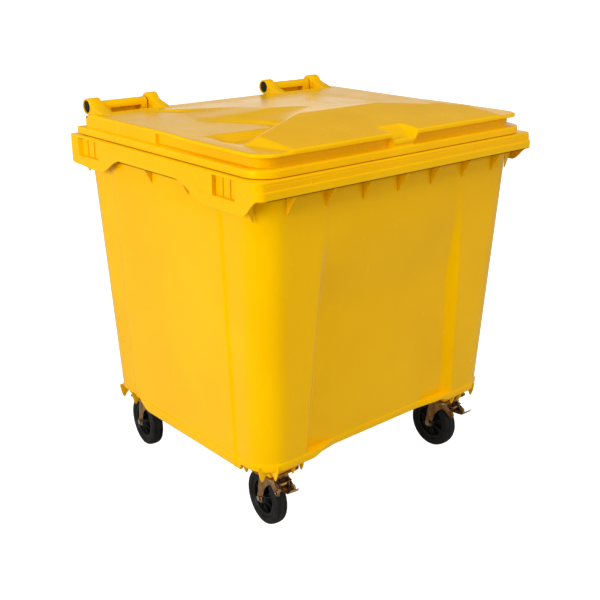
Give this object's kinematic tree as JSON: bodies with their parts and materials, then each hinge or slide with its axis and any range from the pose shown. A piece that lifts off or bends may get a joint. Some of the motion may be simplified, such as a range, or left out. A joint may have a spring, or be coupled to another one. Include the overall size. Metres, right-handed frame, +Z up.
{
  "type": "wheelie bin",
  "caption": "Large rectangular waste bin on braked swivel castors, with a hinged lid, a deep ribbed rim with side pockets and a drain plug in the floor.",
  "frame": {"origin": "on the ground under the middle of the bounding box", "axes": "+Z up, -Y towards the front of the bin (the lid opens there), +X to the right as seen from the front"},
  "size_m": [1.265, 1.112, 1.3886],
  "materials": {
    "moulding": "satin",
    "black_plastic": "satin",
    "rubber": "matt",
    "plated_steel": "yellow passivated zinc",
    "zinc": "zinc plated"
  },
  "bodies": {
    "body": {"bin_body": "moulding", "hinge_pin_left": "black_plastic", "hinge_pin_right": "black_plastic", "castor_plate_front_left": "plated_steel", "kingpin_front_left": "plated_steel", "mounting_bolt_front_left_1": "zinc", "mounting_bolt_front_left_2": "zinc", "mounting_bolt_front_left_3": "zinc", "mounting_bolt_front_left_4": "zinc", "castor_plate_front_right": "plated_steel", "kingpin_front_right": "plated_steel", "mounting_bolt_front_right_1": "zinc", "mounting_bolt_front_right_2": "zinc", "mounting_bolt_front_right_3": "zinc", "mounting_bolt_front_right_4": "zinc", "castor_plate_rear_left": "plated_steel", "kingpin_rear_left": "plated_steel", "mounting_bolt_rear_left_1": "zinc", "mounting_bolt_rear_left_2": "zinc", "mounting_bolt_rear_left_3": "zinc", "mounting_bolt_rear_left_4": "zinc", "castor_plate_rear_right": "plated_steel", "kingpin_rear_right": "plated_steel", "mounting_bolt_rear_right_1": "zinc", "mounting_bolt_rear_right_2": "zinc", "mounting_bolt_rear_right_3": "zinc", "mounting_bolt_rear_right_4": "zinc"},
    "lid": {"lid": "moulding"},
    "drain_plug": {"drain_plug": "black_plastic"},
    "swivel_front_left": {"fork_front_left": "plated_steel", "axle_bolt_front_left": "zinc", "axle_nut_front_left": "zinc", "axle_bush_front_left": "zinc", "brake_pin_front_left": "zinc"},
    "wheel_front_left": {"wheel_rim_front_left": "black_plastic", "tyre_front_left": "rubber"},
    "pedal_front_left": {"brake_pedal_front_left": "plated_steel"},
    "shoe_front_left": {"brake_shoe_front_left": "plated_steel"},
    "swivel_front_right": {"fork_front_right": "plated_steel", "axle_bolt_front_right": "zinc", "axle_nut_front_right": "zinc", "axle_bush_front_right": "zinc", "brake_pin_front_right": "zinc"},
    "wheel_front_right": {"wheel_rim_front_right": "black_plastic", "tyre_front_right": "rubber"},
    "pedal_front_right": {"brake_pedal_front_right": "plated_steel"},
    "shoe_front_right": {"brake_shoe_front_right": "plated_steel"},
    "swivel_rear_left": {"fork_rear_left": "plated_steel", "axle_bolt_rear_left": "zinc", "axle_nut_rear_left": "zinc", "axle_bush_rear_left": "zinc"},
    "wheel_rear_left": {"wheel_rim_rear_left": "black_plastic", "tyre_rear_left": "rubber"},
    "swivel_rear_right": {"fork_rear_right": "plated_steel", "axle_bolt_rear_right": "zinc", "axle_nut_rear_right": "zinc", "axle_bush_rear_right": "zinc"},
    "wheel_rear_right": {"wheel_rim_rear_right": "black_plastic", "tyre_rear_right": "rubber"}
  },
  "joints": [
    {"name": "lid_hinge", "type": "hinge", "parent": "body", "child": "lid", "pos_m": [0, 0.527, 1.36], "axis": [-1, 0, 0], "range_deg": [0, 265]},
    {"name": "drain_plug_turn", "type": "hinge", "parent": "body", "child": "drain_plug", "pos_m": [0, 0.3, 0.29], "axis": [0, 0, 1], "range_deg": [0, 90]},
    {"name": "swivel_front_left_turn", "type": "hinge", "parent": "body", "child": "swivel_front_left", "pos_m": [-0.4374, -0.377, 0.21], "axis": [0, 0, 1], "continuous": true},
    {"name": "wheel_front_left_spin", "type": "hinge", "parent": "swivel_front_left", "child": "wheel_front_left", "pos_m": [-0.43034, -0.32548, 0.1], "axis": [0.9907, -0.1357, 0], "continuous": true},
    {"name": "brake_pedal_front_left_press", "type": "hinge", "parent": "swivel_front_left", "child": "pedal_front_left", "pos_m": [-0.44419, -0.42654, 0.196], "axis": [0.9907, -0.1357, 0], "range_deg": [0, 18]},
    {"name": "brake_shoe_front_left_turn", "type": "hinge", "parent": "swivel_front_left", "child": "shoe_front_left", "pos_m": [-0.44134, -0.40573, 0.1925], "axis": [0.9907, -0.1357, 0], "range_deg": [0, 6.5]},
    {"name": "swivel_front_right_turn", "type": "hinge", "parent": "body", "child": "swivel_front_right", "pos_m": [0.4374, -0.377, 0.21], "axis": [0, 0, 1], "continuous": true},
    {"name": "wheel_front_right_spin", "type": "hinge", "parent": "swivel_front_right", "child": "wheel_front_right", "pos_m": [0.43785, -0.325, 0.1], "axis": [1, -0.0087, 0], "continuous": true},
    {"name": "brake_pedal_front_right_press", "type": "hinge", "parent": "swivel_front_right", "child": "pedal_front_right", "pos_m": [0.43696, -0.427, 0.196], "axis": [1, -0.0087, 0], "range_deg": [0, 18]},
    {"name": "brake_shoe_front_right_turn", "type": "hinge", "parent": "swivel_front_right", "child": "shoe_front_right", "pos_m": [0.43715, -0.406, 0.1925], "axis": [1, -0.0087, 0], "range_deg": [0, 6.5]},
    {"name": "swivel_rear_left_turn", "type": "hinge", "parent": "body", "child": "swivel_rear_left", "pos_m": [-0.4374, 0.389, 0.21], "axis": [0, 0, 1], "continuous": true},
    {"name": "wheel_rear_left_spin", "type": "hinge", "parent": "swivel_rear_left", "child": "wheel_rear_left", "pos_m": [-0.43088, 0.44059, 0.1], "axis": [0.9921, -0.1253, 0], "continuous": true},
    {"name": "swivel_rear_right_turn", "type": "hinge", "parent": "body", "child": "swivel_rear_right", "pos_m": [0.4374, 0.389, 0.21], "axis": [0, 0, 1], "continuous": true},
    {"name": "wheel_rear_right_spin", "type": "hinge", "parent": "swivel_rear_right", "child": "wheel_rear_right", "pos_m": [0.44103, 0.44087, 0.1], "axis": [0.9976, -0.0698, 0], "continuous": true}
  ],
  "couplings": [
    {"joint": "brake_shoe_front_left_turn", "follows": "brake_pedal_front_left_press", "ratio": 0.35},
    {"joint": "brake_shoe_front_right_turn", "follows": "brake_pedal_front_right_press", "ratio": 0.35}
  ]
}
